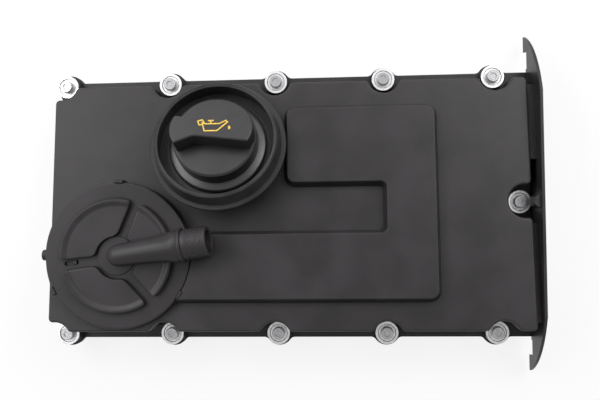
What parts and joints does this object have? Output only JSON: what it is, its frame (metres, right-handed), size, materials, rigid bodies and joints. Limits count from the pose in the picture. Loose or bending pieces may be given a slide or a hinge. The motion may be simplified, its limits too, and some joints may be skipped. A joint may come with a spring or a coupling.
{
  "type": "engine valve cover",
  "caption": "Moulded plastic engine valve cover with a turning oil filler cap, a round breather with a pressure regulator and hose pipe, gasket and bolts.",
  "frame": {"origin": "middle of the bolt pattern, on the plane of the flange's sealing face", "axes": "+X to the timing end with the arched plate, along the longest extent; +Y across the cover towards the oil filler; +Z out of the engine"},
  "size_m": [0.3988, 0.2773, 0.0977],
  "materials": {
    "housing_plastic": "fine grained",
    "gasket_rubber": "matt",
    "baffle_plastic": "satin",
    "screw_steel": "zinc plated",
    "valve_rubber": "matt",
    "collar_rubber": "matt",
    "cap_plastic": "satin",
    "bayonet_plastic": "satin",
    "seal_rubber": "matt",
    "breather_plastic": "fine grained",
    "diaphragm_rubber": "smooth",
    "plate_plastic": "satin",
    "spring_steel": "bright wire",
    "bolt_steel": "zinc plated",
    "washer_steel": "zinc plated",
    "grommet_rubber": "matt"
  },
  "bodies": {
    "cover": {"cover_housing": "housing_plastic", "cover_gasket": "gasket_rubber", "separator_baffle": "baffle_plastic", "baffle_screws": "screw_steel", "drain_valve": "valve_rubber", "filler_collar": "collar_rubber", "breather_cover": "breather_plastic", "breather_seal": "seal_rubber", "breather_diaphragm": "diaphragm_rubber", "regulator_spring": "spring_steel", "vent_nozzle": "breather_plastic", "cover_bolts": "bolt_steel", "bolt_washers": "washer_steel", "bolt_sleeves": "washer_steel", "bolt_grommets": "grommet_rubber"},
    "cap": {"filler_cap": "cap_plastic", "cap_bayonet": "bayonet_plastic", "filler_cap_seal": "seal_rubber"},
    "regulator": {"diaphragm_plate": "plate_plastic"}
  },
  "joints": [
    {"name": "cap_turn", "type": "hinge", "parent": "cover", "child": "cap", "pos_m": [-0.0426, 0.0484, 0.0493], "axis": [0, 0.3007, 0.9537], "range_deg": [0, 90]},
    {"name": "regulator_travel", "type": "slide", "parent": "cover", "child": "regulator", "axis": [0, 0, 1], "range_m": [0, 0.0032], "stiffness_N_per_m": 150, "springref_m": -0.003, "deforming": ["regulator_spring", "breather_diaphragm"]}
  ]
}
